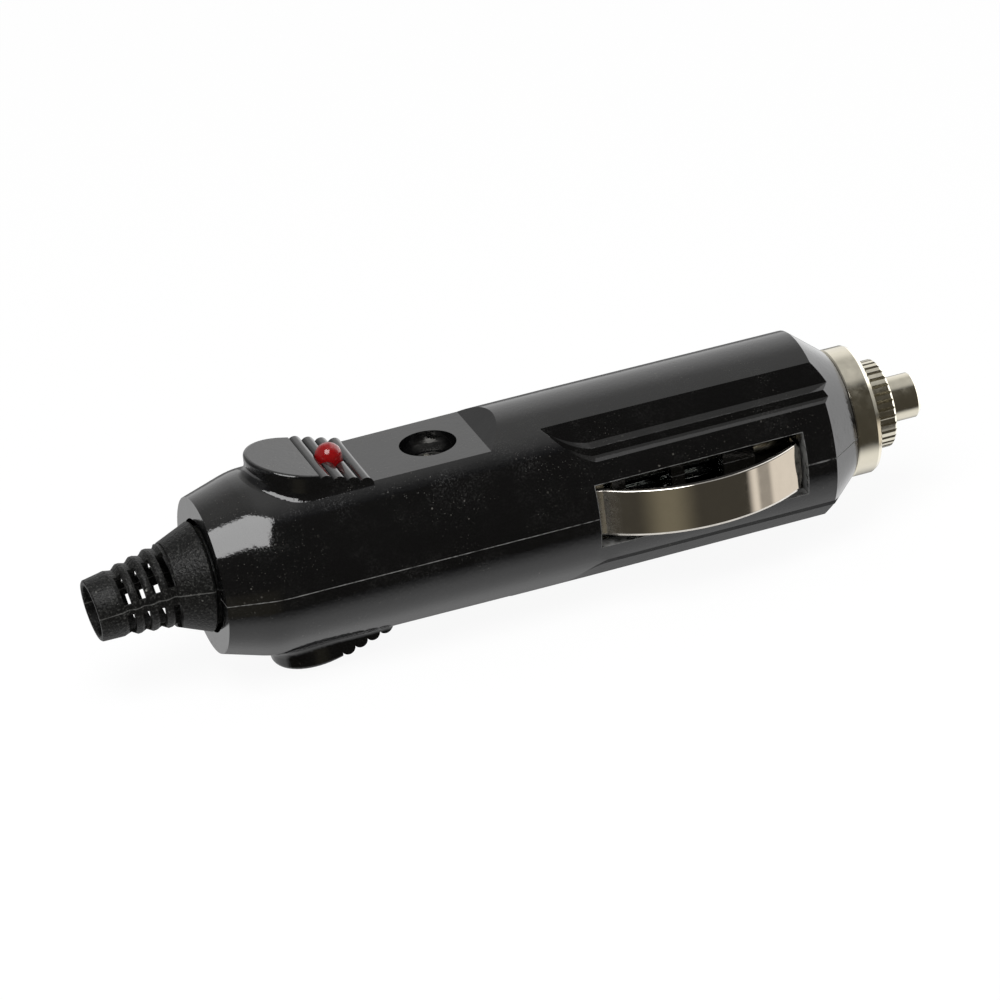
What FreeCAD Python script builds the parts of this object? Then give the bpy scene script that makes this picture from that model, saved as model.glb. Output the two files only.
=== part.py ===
"""Cigarette lighter plug: a fused 12 volt vehicle plug with two sprung side contacts.

Frame, in millimetres: the plug's axis is X and the tip points to +X. The origin is on the axis
where the full round barrel begins. The two shells meet on the plane Z = 0, and the case screw
and the indicator lamp are on the +Z side.
"""
import FreeCAD, Part
import math
import os
from types import SimpleNamespace

import Sketcher

V = FreeCAD.Vector

# Driving sizes: name, value, meaning. Lengths in mm, angles in degrees.
SIZES = [
    ("barrel_radius", 10.4, "full round barrel, fits a 12 V socket of 21 mm bore"),
    ("full_round_length", 7.0, "length of the unbroken round seat behind the windows"),
    ("barrel_taper", 0.1, "how much the barrel narrows from there to the nose"),
    ("barrel_end", 34.8, "where the barrel ends and the nose cone begins"),
    ("nose_length", 3.7, "length of the nose cone"),
    ("nose_radius", 7.15, "nose cone at its front face, and the ring of the nose cap"),
    ("spigot_step", 1.2, "spigot for the nose cap inside the edge of the nose cone"),
    ("spigot_length", 2.4, "length of that spigot"),
    ("body_taper", 0.12, "how much the grip body narrows towards the rear"),
    ("rear_cone_angle", 16.3, "angle of the rear cone"),
    ("rear_blend_radius", 9.0, "blend between the rear cone and the grip body"),
    ("rear_face", -34.1, "rear face of the shells"),
    ("rear_drop", 1.63, "how far the edge of the rear face lies inside the grip body"),
    ("rear_ring_width", 2.35, "width of the ring face at the rear"),
    ("rear_wall", 1.8, "thickness of the rear wall"),
    ("boot_groove_length", 2.3, "room for the flange of the cable boot"),
    ("boot_groove_wall", 2.48, "wall outside that groove"),
    ("body_wall", 2.88, "wall of the grip body"),
    ("barrel_wall", 2.6, "wall of the barrel"),
    ("barrel_cavity_start", -0.6, "where the wider barrel cavity begins"),
    ("front_wall", 1.9, "solid nose behind the nose cone"),
    ("fuse_clearance", 0.2, "radial play of the fuse in its saddles"),
    ("flat_depth", 1.68, "how far the flat with the screw hole lies below the barrel's top"),
    ("shoulder_base", -2.26, "foot of the sloping shoulder in front of the flat"),
    ("grip_front", -15.6, "front end of the thumb grip"),
    ("grip_half_width", 5.6, "half the width of the thumb grip"),
    ("grip_plate_start", -21.4, "front edge of the smooth thumb plate"),
    ("grip_rear", -27.8, "rear end of the thumb grip"),
    ("grip_root_fillet", 1.0, "fillet at the foot of the thumb grip"),
    ("grip_edge_fillet", 0.35, "rounding of the edge of the smooth plate"),
    ("grip_plate_front_rise", 0.57, "smooth plate above the body's top at its front edge"),
    ("grip_plate_rear_rise", 2.27, "smooth plate above the body's top at its rear end"),
    ("grip_ridge_drop", 1.3, "first ridge line below the body's top at the front of the grip"),
    ("ridge_count", 4, "number of ridges across the grip"),
    ("ridge_depth", 0.5, "depth of the valleys between the ridges"),
    ("screw_x", -7.55, "axis of the case screw"),
    ("screw_well_gap", 0.37, "room round the screw head in its well"),
    ("screw_well_depth", 3.52, "seat of the screw head below the flat"),
    ("screw_well_wall", 1.0, "wall round the well"),
    ("screw_hole_gap", 0.2, "room round the shank in the upper shell"),
    ("screw_pilot_gap", 0.05, "room round the shank in the lower shell"),
    ("screw_boss_wall", 1.55, "wall of the screw boss at the parting plane"),
    ("screw_shank_radius", 1.4, "shank of the case screw"),
    ("screw_head_radius", 2.75, "head of the case screw"),
    ("screw_head_height", 1.7, "height of the screw head"),
    ("screw_tip_gap", 1.0, "tip of the screw above the inside of the lower shell"),
    ("screw_slot_width", 0.6, "width of the cross slot"),
    ("screw_slot_length", 3.0, "length of the cross slot"),
    ("screw_slot_depth", 1.0, "depth of the cross slot"),
    ("lamp_x", -18.65, "axis of the indicator lamp"),
    ("lamp_radius", 1.5, "lamp body, a 3 mm lamp"),
    ("lamp_clearance", 0.14, "radial play of the lamp in its hole"),
    ("lamp_flange_width", 0.4, "rim at the foot of the lamp"),
    ("lamp_flange_height", 0.9, "thickness of that rim"),
    ("lamp_foot_reach", 0.85, "how far the foot of the lamp reaches into the cavity"),
    ("lamp_height", 5.1, "lamp from its foot to the top of its dome"),
    ("lead_radius", 0.25, "lamp leads"),
    ("lead_pitch", 2.54, "distance between the lamp leads"),
    ("lead_drop", 2.55, "how far the lamp leads run straight down"),
    ("lead_side_gap", 1.7, "distance of the long lead from the inside of the body"),
    ("window_setback", 0.5, "rear edge of the side windows in front of the round seat"),
    ("window_front_wall", 3.35, "wall between the windows and the nose cone"),
    ("window_side_room", 1.0, "room above and below the contacts in the windows"),
    ("tail_pocket_length", 3.3, "pocket for the contact tail behind the window"),
    ("tail_pocket_cover", 1.4, "wall outside that pocket"),
    ("tail_side_gap", 0.3, "play of the tail in that pocket"),
    ("saddle_side_wall", 1.625, "fuse saddle beside the fuse"),
    ("saddle_wall", 1.5, "thickness of a fuse saddle"),
    ("rear_saddle", 10.9, "rear face of the rear fuse saddle"),
    ("middle_saddle", 17.7, "rear face of the middle fuse saddle"),
    ("front_saddle", 23.7, "rear face of the front fuse saddle"),
    ("front_saddle_length", 3.6, "length of the front fuse saddle"),
    ("recess_tip", 3.8, "pointed rear end of the side recesses"),
    ("recess_full", 8.4, "where the side recesses reach their full width"),
    ("contact_thickness", 0.4, "spring strip of the side contacts"),
    ("contact_width", 5.4, "width of that strip"),
    ("contact_rise", 2.9, "how far the side contacts stand out of the barrel"),
    ("contact_bow_radius", 17.8, "radius of the bow"),
    ("contact_bow_centre", 20.0, "middle of the bow along the axis"),
    ("contact_tail_gap", 0.4, "tail from the floor of its pocket"),
    ("contact_tail_end_gap", 0.7, "tail from the rear end of its pocket"),
    ("contact_foot_gap", 0.4, "feet inside the wall of the barrel"),
    ("contact_front_gap", 0.35, "front end of the contact from the front of the window"),
    ("contact_corner", 1.3, "chamfer on the corners of its front end"),
    ("link_radius", 0.5, "wire that joins the two side contacts"),
    ("link_gap", 0.35, "distance between that wire and the contact tails"),
    ("running_clearance", 0.1, "radial play of the tip pin and of the nose cap"),
    ("cap_gap", 0.05, "nose cap from the nose cone"),
    ("cap_edge", 0.65, "bevelled front edge of the nose cap's ring"),
    ("cap_floor_gap", 0.15, "inner floor of the nose cap from the spigot"),
    ("cap_wall", 0.55, "front wall of the nose cap"),
    ("collar_wall", 2.3, "wall of its knurled collar"),
    ("collar_length", 2.5, "length of that collar"),
    ("collar_edge", 0.25, "bevel on its front edge"),
    ("knurl_count", 34, "grooves round the collar"),
    ("knurl_depth", 0.25, "depth of these grooves"),
    ("pin_radius", 2.5, "tip of the contact pin"),
    ("pin_reach", 3.88, "how far the pin stands out of the collar"),
    ("pin_edge", 0.4, "bevel on its front edge"),
    ("pin_shoulder_width", 0.8, "shoulder that holds the pin behind the nose cap"),
    ("fuse_entry", 1.1, "how far the fuse reaches into the bore of the nose"),
    ("fuse_length", 30.0, "glass fuse, 6.3 by 30 mm"),
    ("fuse_cap_radius", 3.175, "end caps of the fuse"),
    ("fuse_cap_length", 6.5, "length of an end cap"),
    ("fuse_cap_wall", 0.2, "wall of an end cap"),
    ("fuse_glass_gap", 0.05, "solder gap between glass and cap"),
    ("fuse_glass_wall", 0.6, "wall of the glass tube"),
    ("fuse_link_radius", 0.15, "fusible wire"),
    ("spring_wire_radius", 0.3, "wire of the tip spring"),
    ("spring_radius", 2.5, "mean coil radius of the tip spring"),
    ("spring_turns", 3.0, "turns of the tip spring"),
    ("spring_end_gap", 0.06, "distance of the spring from what it presses on"),
    ("terminal_front", -2.6, "front face of the spring terminal"),
    ("terminal_thickness", 0.5, "sheet of the spring terminal"),
    ("terminal_side_gap", 3.0, "sides of its plate from the inside of the body"),
    ("terminal_end_gap", 2.8, "ends of its plate from the inside of the body"),
    ("terminal_tab_offset", 1.2, "how far its solder tab stands out of the plate"),
    ("terminal_tab_reach", 3.5, "length of its solder tab"),
    ("terminal_tab_height", 2.4, "height of its solder tab"),
    ("bulkhead_gap", 0.05, "play between the terminal and the bulkhead behind it"),
    ("bulkhead_wall", 1.7, "thickness of the bulkhead"),
    ("bulkhead_edge", 0.1, "bulkhead beyond the sides of the terminal plate"),
    ("resistor_radius", 1.15, "resistor body"),
    ("resistor_length", 6.2, "length of the resistor body"),
    ("resistor_height", -1.0, "height of the resistor above the axis"),
    ("resistor_lead_radius", 0.3, "resistor leads"),
    ("resistor_lead_length", 3.0, "lead between the resistor and the solder tab"),
    ("boot_bend", 5.3, "angle the slotted part of the boot hangs below the axis"),
    ("boot_flange_gap", 0.4, "flange of the boot inside its groove"),
    ("boot_flange_length", 1.2, "thickness of that flange"),
    ("boot_neck_gap", 0.9, "neck of the boot inside the rear hole"),
    ("boot_collar_gap", 0.3, "wide end of the boot behind the rear face"),
    ("boot_collar_lip", 0.67, "how far the wide end stands out of the neck"),
    ("boot_collar_length", 3.7, "smooth cone in front of the slots"),
    ("boot_slot_count", 4, "slots in each row"),
    ("boot_slot_pitch", 1.65, "distance from slot to slot"),
    ("boot_slot_width", 0.8, "width of a slot"),
    ("boot_twist", 7.3, "how far the boot is turned about the axis in its groove"),
    ("boot_rib_half_height", 1.0, "half the height of the side ribs at the first slot"),
    ("boot_rib_taper", 0.15, "how much lower that is at each further slot"),
    ("boot_web_half_width", 1.35, "half the width of the webs above and below the slots"),
    ("boot_ring_crown", 0.22, "how far each ring bulges"),
    ("boot_ring_wall", 0.92, "wall of the collar where the slots begin"),
    ("boot_cuff_wall", 0.83, "wall of the cuff where it leaves the last slot"),
    ("boot_end_wall", 0.6, "wall of the cuff at its open end"),
    ("boot_cuff_length", 2.5, "length of the cuff"),
    ("boot_bore_flare", 0.9, "bore of the collar wider than the cord entry"),
    ("cord_bore_radius", 2.85, "cord entry in the cuff"),
]

doc = FreeCAD.newDocument("LighterPlug")
sheet = doc.addObject("Spreadsheet::Sheet", "Sizes")
for row, (name, value, meaning) in enumerate(SIZES, start=1):
    sheet.set("A%d" % row, name)
    sheet.set("B%d" % row, str(value))
    sheet.setAlias("B%d" % row, name)
    sheet.set("C%d" % row, meaning)
doc.recompute()


class Size:
    """A dimension that carries its value and the formula that binds it to the sheet."""

    def __init__(self, value, text):
        self.value = float(value)
        self.text = text

    def combine(self, other, sign, value):
        return Size(value, "(%s %s %s)" % (self.text, sign, size_of(other).text))

    def __add__(self, other):
        return self.combine(other, "+", self.value + size_of(other).value)

    def __sub__(self, other):
        return self.combine(other, "-", self.value - size_of(other).value)

    def __mul__(self, other):
        return self.combine(other, "*", self.value * size_of(other).value)

    def __truediv__(self, other):
        return self.combine(other, "/", self.value / size_of(other).value)

    def __radd__(self, other):
        return size_of(other) + self

    def __rsub__(self, other):
        return size_of(other) - self

    def __rmul__(self, other):
        return size_of(other) * self

    def __neg__(self):
        return size_of(0) - self


def size_of(x):
    return x if isinstance(x, Size) else Size(x, "(%s)" % repr(float(x)))


def root(x):
    return Size(math.sqrt(x.value), "sqrt(%s)" % x.text)


def sine(x):
    return Size(math.sin(math.radians(x.value)), "sin(%s)" % x.text)


def cosine(x):
    return Size(math.cos(math.radians(x.value)), "cos(%s)" % x.text)


s = SimpleNamespace(**{name: Size(sheet.get(name), "Sizes." + name) for name, _, _ in SIZES})

# Radii that follow from the barrel
s.barrel_front_radius = s.barrel_radius - s.barrel_taper
s.body_radius = s.barrel_radius - s.body_taper
s.rear_rim_radius = s.body_radius - s.rear_drop
s.rear_hole_radius = s.rear_rim_radius - s.rear_ring_width
s.boot_groove_radius = s.body_radius - s.boot_groove_wall
s.cavity_radius = s.body_radius - s.body_wall
s.barrel_cavity_radius = s.barrel_radius - s.barrel_wall

# Heights on the upper side
s.flat_height = s.barrel_radius - s.flat_depth
s.grip_plate_low = s.body_radius + s.grip_plate_front_rise
s.grip_plate_high = s.body_radius + s.grip_plate_rear_rise
s.grip_ridge_low = s.body_radius - s.grip_ridge_drop
s.screw_seat = s.flat_height - s.screw_well_depth
s.screw_tip = s.screw_tip_gap - s.cavity_radius
s.lamp_foot = s.cavity_radius - s.lamp_foot_reach

# Places along the axis, from the nose to the tip
s.nose_end = s.barrel_end + s.nose_length
s.spigot_end = s.nose_end + s.spigot_length
s.front_wall_start = s.barrel_end - s.front_wall
s.cap_ring_start = s.nose_end + s.cap_gap
s.cap_floor = s.spigot_end + s.cap_floor_gap
s.cap_ring_end = s.cap_floor + s.cap_wall
s.cap_collar_end = s.cap_ring_end + s.collar_length
s.pin_end = s.cap_collar_end + s.pin_reach
s.window_start = s.full_round_length + s.window_setback
s.window_end = s.barrel_end - s.window_front_wall

# The fuse, what presses on it and what carries it
s.fuse_end = s.front_wall_start + s.fuse_entry
s.fuse_start = s.fuse_end - s.fuse_length
s.fuse_bore = s.fuse_cap_radius + s.fuse_clearance
s.saddle_half_width = s.fuse_bore + s.saddle_side_wall
s.pin_body_radius = s.pin_radius + s.pin_shoulder_width
s.pin_bore = s.pin_body_radius + s.running_clearance
s.spigot_radius = s.nose_radius - s.spigot_step
s.cap_collar_radius = s.pin_radius + s.running_clearance + s.collar_wall
s.terminal_half_width = s.cavity_radius - s.terminal_side_gap
s.terminal_half_height = s.cavity_radius - s.terminal_end_gap
s.terminal_tab_end = s.terminal_front - s.terminal_thickness - s.terminal_tab_reach
s.terminal_tab_outside = s.terminal_half_width + s.terminal_tab_offset

# The side contacts in their windows
s.window_half_height = s.contact_width / 2 + s.window_side_room
s.tail_pocket_half_height = s.contact_width / 2 + s.tail_side_gap
s.tail_pocket_start = s.window_start - s.tail_pocket_length
s.tail_pocket_depth = s.barrel_radius - s.tail_pocket_cover
s.contact_crest = s.barrel_radius + s.contact_rise
s.contact_tail_depth = s.tail_pocket_depth - s.contact_tail_gap
s.contact_tail_start = s.tail_pocket_start + s.contact_tail_end_gap
s.contact_foot_depth = s.barrel_cavity_radius - s.contact_foot_gap
s.contact_front = s.window_end - s.contact_front_gap

# The cable boot
s.hole_wall = s.rear_face + s.rear_wall
s.boot_groove_end = s.hole_wall + s.boot_groove_length
s.boot_flange_middle = s.hole_wall + s.boot_groove_length / 2
s.boot_flange_radius = s.boot_groove_radius - s.boot_flange_gap
s.boot_neck_radius = s.rear_hole_radius - s.boot_neck_gap
s.boot_collar_start = s.rear_face - s.boot_collar_gap
s.boot_collar_radius = s.boot_neck_radius + s.boot_collar_lip
s.boot_rings_start = s.boot_collar_start - s.boot_collar_length
s.boot_bore_radius = s.cord_bore_radius + s.boot_bore_flare
s.boot_rings_radius = s.boot_bore_radius + s.boot_ring_wall
s.boot_cuff_radius = s.cord_bore_radius + s.boot_cuff_wall
s.boot_end_radius = s.cord_bore_radius + s.boot_end_wall


def bind(thing, prop, size):
    thing.setExpression(prop, size_of(size).text)


def new_body(label):
    body = doc.addObject("PartDesign::Body", label)
    body.Label = label
    return body


def new_sketch(body, plane, name, offset=None):
    """An empty sketch on one of the body's own planes, moved along that plane's normal."""
    sketch = body.newObject("Sketcher::SketchObject", name)
    planes = {f.Role: f for f in body.Origin.OriginFeatures}
    sketch.AttachmentSupport = (planes[plane], "")
    sketch.MapMode = "FlatFace"
    if offset is not None:
        bind(sketch, "AttachmentOffset.Base.z", offset)
    return sketch


def place_point(sketch, edge, end, name, x, y):
    for letter, kind, size in (("x", "DistanceX", size_of(x)), ("y", "DistanceY", size_of(y))):
        index = sketch.addConstraint(Sketcher.Constraint(kind, -1, 1, edge, end, size.value))
        sketch.renameConstraint(index, name + letter)
        bind(sketch, "Constraints." + name + letter, size)


def add_outline(sketch, corners, arcs=None, mark="p"):
    """A closed outline. An edge named in arcs is an arc of that radius; a bulge to the left of
    the way round has side 1, to the right has side -1."""
    arcs = arcs or {}
    corners = [(size_of(x), size_of(y)) for x, y in corners]
    count = len(corners)
    first = sketch.GeometryCount
    ends = []
    for i, (x, y) in enumerate(corners):
        x2, y2 = corners[(i + 1) % count]
        a, b = V(x.value, y.value, 0), V(x2.value, y2.value, 0)
        if i not in arcs:
            sketch.addGeometry(Part.LineSegment(a, b), False)
            ends.append((1, 2))
            continue
        radius, side = size_of(arcs[i][0]), arcs[i][1]
        half = (b - a) * 0.5
        left = V(-half.y, half.x, 0).normalize()
        depth = math.sqrt(max(radius.value ** 2 - half.Length ** 2, 0.0))
        centre = a + half - left * (side * depth)
        circle = Part.Circle(centre, V(0, 0, 1), radius.value)
        start = math.atan2(a.y - centre.y, a.x - centre.x)
        stop = math.atan2(b.y - centre.y, b.x - centre.x)
        if side > 0:
            sketch.addGeometry(Part.ArcOfCircle(circle, stop, start), False)
            ends.append((2, 1))
        else:
            sketch.addGeometry(Part.ArcOfCircle(circle, start, stop), False)
            ends.append((1, 2))
    for i in range(count):
        j = (i + 1) % count
        sketch.addConstraint(
            Sketcher.Constraint("Coincident", first + i, ends[i][1], first + j, ends[j][0])
        )
    for i, (x, y) in enumerate(corners):
        place_point(sketch, first + i, ends[i][0], "%s%d" % (mark, i), x, y)
    for i, (radius, _) in arcs.items():
        radius = size_of(radius)
        index = sketch.addConstraint(Sketcher.Constraint("Radius", first + i, radius.value))
        sketch.renameConstraint(index, "%s%dr" % (mark, i))
        bind(sketch, "Constraints.%s%dr" % (mark, i), radius)


def turn_down(sketch, x, angle):
    """Turns a sketch on the XZ plane about the point x of the plug's axis, its rear end down."""
    turn = FreeCAD.Rotation(V(0, 0, 1), angle.value)
    sketch.AttachmentOffset = FreeCAD.Placement(V(x.value, 0, sketch.AttachmentOffset.Base.z), turn)
    bind(sketch, "AttachmentOffset.Base.x", x)
    bind(sketch, "AttachmentOffset.Rotation.Angle", angle)


def add_upright_axis(sketch, x):
    """A construction line at right angles to the plug's axis, to turn a profile about."""
    edge = sketch.GeometryCount
    x = size_of(x)
    sketch.addGeometry(Part.LineSegment(V(x.value, 0, 0), V(x.value, 1, 0)), True)
    place_point(sketch, edge, 1, "axis", x, 0)
    sketch.addConstraint(Sketcher.Constraint("Vertical", edge))
    sketch.addConstraint(Sketcher.Constraint("DistanceY", edge, 1, edge, 2, 1))


def turned(body, kind, sketch, axis="H_Axis", angle=360):
    feature = body.newObject("PartDesign::" + kind, sketch.Name + kind)
    feature.Profile = sketch
    feature.ReferenceAxis = (sketch, [axis])
    feature.Angle = angle
    feature.Midplane = angle < 360
    doc.recompute()
    return feature


def pushed(body, kind, sketch, length=None, both_ways=False, reverse=False):
    """A pad or a pocket. Without a length a pocket goes through everything."""
    before = body.Shape.Volume if body.Tip is not None and not body.Shape.isNull() else 0.0
    feature = body.newObject("PartDesign::" + kind, sketch.Name + kind)
    feature.Profile = sketch
    if length is None:
        feature.Type = "ThroughAll"
    else:
        bind(feature, "Length", length)
    feature.SideType = "Symmetric" if both_ways else "One side"
    feature.Reversed = reverse
    doc.recompute()
    change = body.Shape.Volume - before
    if (kind == "Pad" and change <= 0) or (kind == "Pocket" and change >= 0):
        raise ValueError("%s changes nothing in %s" % (sketch.Name, body.Label))
    return feature


def rounded(body, name, radius, wanted):
    """Rounds every edge of the body whose middle is wanted."""
    base = body.Tip
    names = []
    for k, edge in enumerate(base.Shape.Edges, start=1):
        middle = edge.valueAt((edge.FirstParameter + edge.LastParameter) / 2)
        if wanted(middle, edge):
            names.append("Edge%d" % k)
    feature = body.newObject("PartDesign::Fillet", name)
    feature.Base = (base, names)
    bind(feature, "Radius", radius)
    doc.recompute()
    return feature


def wire_solid(points, radius):
    """A round wire along straight runs, mitred at its bends."""
    path = Part.makePolygon(points)
    section = Part.Wire(Part.makeCircle(radius, points[0], points[1] - points[0]))
    return path.makePipeShell([section], True, False, 1)


# The decorative recess in cross-section, from its upper edge down the steep wall, along the
# floor, down the step and out to its lower edge. Each corner is an angle above the parting
# plane, in degrees, and a depth below the barrel's surface.
RECESS = [(64.05, 0.0), (49.6, 1.14), (43.35, 0.36), (39.12, 0.73), (34.2, 0.0)]
RECESS_MARGIN = 2.4


def recess_corners(share, across, up):
    """The recess section drawn towards its upper edge, on the side of the plug that across and
    up name. The last two corners lie outside the barrel."""
    edge = RECESS[0][0]
    corners = [(edge + share * (angle - edge), share * depth) for angle, depth in RECESS]
    corners.append((corners[-1][0], -RECESS_MARGIN))
    corners.append((edge, -RECESS_MARGIN))
    section = []
    for angle, depth in corners:
        distance = s.barrel_radius - depth
        section.append(
            (across * distance * cosine(size_of(angle)), up * distance * sine(size_of(angle)))
        )
    return section


def on_grip_wall(up, low, high):
    """Picks the long edges that lie on the side wall of the thumb grip between two heights."""
    w, bend = s.grip_half_width.value, s.grip_rear.value + s.grip_half_width.value

    def wanted(spot, edge):
        flat_side = spot.x >= bend and abs(abs(spot.y) - w) < 0.001
        round_end = spot.x < bend and abs(math.hypot(spot.x - bend, spot.y) - w) < 0.001
        inside = low < up * spot.z < high and spot.x < s.grip_front.value - 0.01
        start, end = edge.Vertexes[0].Point, edge.Vertexes[-1].Point
        across = math.hypot(end.x - start.x, end.y - start.y)
        return inside and (flat_side or round_end) and across > 0.1

    return wanted


def make_shell(label, up):
    """One moulded half. up is 1 for the half with the screw head and the lamp, -1 below."""
    body = new_body(label)
    blend_low = s.body_radius - s.rear_blend_radius * (1 - cosine(s.rear_cone_angle))
    slope = sine(s.rear_cone_angle) / cosine(s.rear_cone_angle)
    cone_end = s.rear_face + (blend_low - s.rear_rim_radius) / slope
    blend_end = cone_end + s.rear_blend_radius * sine(s.rear_cone_angle)

    profile = new_sketch(body, "XZ_Plane", label + "_profile")
    corners = [
        (s.rear_face, s.rear_rim_radius),
        (cone_end, blend_low),
        (blend_end, s.body_radius),
        (0, s.barrel_radius),
        (s.full_round_length, s.barrel_radius),
        (s.barrel_end, s.barrel_front_radius),
        (s.nose_end, s.nose_radius),
        (s.nose_end, s.spigot_radius),
        (s.spigot_end, s.spigot_radius),
        (s.spigot_end, s.pin_bore),
        (s.front_wall_start, s.pin_bore),
        (s.front_wall_start, s.barrel_cavity_radius),
        (s.barrel_cavity_start, s.barrel_cavity_radius),
        (s.barrel_cavity_start, s.cavity_radius),
        (s.boot_groove_end, s.cavity_radius),
        (s.boot_groove_end, s.boot_groove_radius),
        (s.hole_wall, s.boot_groove_radius),
        (s.hole_wall, s.rear_hole_radius),
        (s.rear_face, s.rear_hole_radius),
    ]
    corners = [(x, up * size_of(r)) for x, r in corners]
    add_outline(profile, corners, {1: (s.rear_blend_radius, up)})
    turned(body, "Revolution", profile, angle=180)

    # thumb grip: a block with a half-round rear end
    plan = new_sketch(body, "XY_Plane", label + "_grip_plan", up * (s.barrel_cavity_radius + 0.2))
    bend = s.grip_rear + s.grip_half_width
    w = s.grip_half_width
    add_outline(
        plan,
        [(s.grip_front, -w), (s.grip_front, w), (bend, w), (s.grip_rear, 0), (bend, -w)],
        {2: (w, -1), 3: (w, -1)},
    )
    pushed(body, "Pad", plan, s.grip_plate_high - s.barrel_cavity_radius, reverse=up < 0)
    low, high = s.flat_height.value - 3, s.grip_plate_high.value - 0.1
    rounded(body, label + "_grip_root", s.grip_root_fillet, on_grip_wall(up, low, high))

    # flat, sloping shoulder and the top line of the grip with its ridges
    top = new_sketch(body, "XZ_Plane", label + "_top_line")
    sky = s.grip_plate_high + 2
    ridges = int(s.ridge_count.value)
    span = s.grip_front - s.grip_plate_start
    corners = [(s.grip_rear - 1, s.grip_plate_high)]
    corners.append((s.grip_plate_start, s.grip_plate_low))
    arcs = {}
    rise = s.grip_plate_low - s.grip_ridge_low
    half = span / s.ridge_count / 2
    crown = (half * half + s.ridge_depth * s.ridge_depth) / (2 * s.ridge_depth) * 1.02
    for k in range(ridges):
        x = s.grip_plate_start + span * k / s.ridge_count
        z = s.grip_plate_low - rise * k / s.ridge_count - s.ridge_depth
        arcs[len(corners)] = (crown, 1 * up)
        corners.append((x, z))
    corners.append((s.grip_front, s.flat_height))
    corners.append((s.shoulder_base, s.flat_height))
    corners.append((0, s.barrel_radius))
    corners.append((0, sky))
    corners.append((s.grip_rear - 1, sky))
    add_outline(top, [(x, up * size_of(z)) for x, z in corners], arcs)
    pushed(body, "Pocket", top, both_ways=True)
    low, high = s.grip_plate_low.value - 0.01, s.grip_plate_high.value
    rounded(body, label + "_grip_edge", s.grip_edge_fillet, on_grip_wall(up, low, high))

    # side windows at the parting plane, and the pockets for the contact tails behind them
    window = new_sketch(body, "XZ_Plane", label + "_window")
    x0, x1, h = s.window_start, s.window_end, s.window_half_height
    add_outline(window, [(x0, 0), (x1, 0), (x1, up * h), (x0, up * h)])
    pushed(body, "Pocket", window, both_ways=True)
    pocket = new_sketch(body, "XZ_Plane", label + "_tail_pocket")
    x0, x1, h = s.tail_pocket_start, s.window_start + 0.5, s.tail_pocket_half_height
    add_outline(pocket, [(x0, 0), (x1, 0), (x1, up * h), (x0, up * h)])
    pushed(body, "Pocket", pocket, 2 * s.tail_pocket_depth, both_ways=True)

    # stepped recesses: a straight cut out through the nose and a pointed rear end
    for across in (1, -1):
        mark = label + ("_left" if across > 0 else "_right")
        cut = new_sketch(body, "YZ_Plane", mark + "_recess", s.recess_full)
        add_outline(cut, recess_corners(1.0, across, up))
        pushed(body, "Pocket", cut, s.nose_end - s.recess_full, reverse=True)
        length = s.recess_full - s.recess_tip
        sections = []
        for k, (share, along) in enumerate([(0.04, 0.0), (0.5, 0.3), (0.85, 0.68), (1.0, 1.0)]):
            x = s.recess_tip + length * along
            section = new_sketch(body, "YZ_Plane", mark + "_section%d" % k, x)
            add_outline(section, recess_corners(share, across, up))
            sections.append(section)
        loft = body.newObject("PartDesign::SubtractiveLoft", mark + "_recess_end")
        loft.Profile = sections[0]
        loft.Sections = sections[1:]
        loft.Ruled = False
        doc.recompute()

    # fuse saddles and the bulkhead behind the spring terminal
    floor = s.barrel_cavity_radius + 0.3
    for k, (x, wall) in enumerate(
        [
            (s.rear_saddle, s.saddle_wall),
            (s.middle_saddle, s.saddle_wall),
            (s.front_saddle, s.front_saddle_length),
        ]
    ):
        saddle = new_sketch(body, "YZ_Plane", label + "_saddle%d" % k, x)
        w, r = s.saddle_half_width, s.fuse_bore
        add_outline(
            saddle,
            [(-w, 0), (-r, 0), (0, up * r), (r, 0), (w, 0), (w, up * floor), (-w, up * floor)],
            {1: (r, up), 2: (r, up)},
        )
        pushed(body, "Pad", saddle, wall)
    bulkhead = new_sketch(
        body,
        "YZ_Plane",
        label + "_bulkhead",
        s.terminal_front - s.terminal_thickness - s.bulkhead_gap - s.bulkhead_wall,
    )
    w, h = s.terminal_half_width + s.bulkhead_edge, s.cavity_radius + 0.3
    add_outline(bulkhead, [(-w, 0), (w, 0), (w, up * h), (-w, up * h)])
    pushed(body, "Pad", bulkhead, s.bulkhead_wall)

    # screw boss and its bore
    boss = new_sketch(body, "XZ_Plane", label + "_screw_boss")
    add_upright_axis(boss, s.screw_x)
    hole = new_sketch(body, "XZ_Plane", label + "_screw_bore")
    add_upright_axis(hole, s.screw_x)
    roof = s.flat_height - 0.5
    axis = s.screw_x
    well = axis + s.screw_head_radius + s.screw_well_gap
    wide = well + s.screw_well_wall
    narrow = axis + s.screw_shank_radius + s.screw_pilot_gap + s.screw_boss_wall
    if up > 0:
        neck = s.screw_seat - s.screw_well_wall * 2
        add_outline(
            boss,
            [(axis, 0), (narrow, 0), (narrow, neck), (wide, neck + 1), (wide, roof), (axis, roof)],
        )
        bore = axis + s.screw_shank_radius + s.screw_hole_gap
        above = s.flat_height + 1
        add_outline(
            hole,
            [(axis, 0), (bore, 0), (bore, s.screw_seat), (well, s.screw_seat), (well, above), (axis, above)],
        )
    else:
        bore = axis + s.screw_shank_radius + s.screw_pilot_gap
        depth = s.screw_tip - 0.4
        add_outline(boss, [(axis, 0), (narrow, 0), (narrow, -roof), (axis, -roof)])
        add_outline(hole, [(axis, 0), (bore, 0), (bore, depth), (axis, depth)])
    turned(body, "Revolution", boss, axis="Axis0")
    turned(body, "Groove", hole, axis="Axis0")

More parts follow.
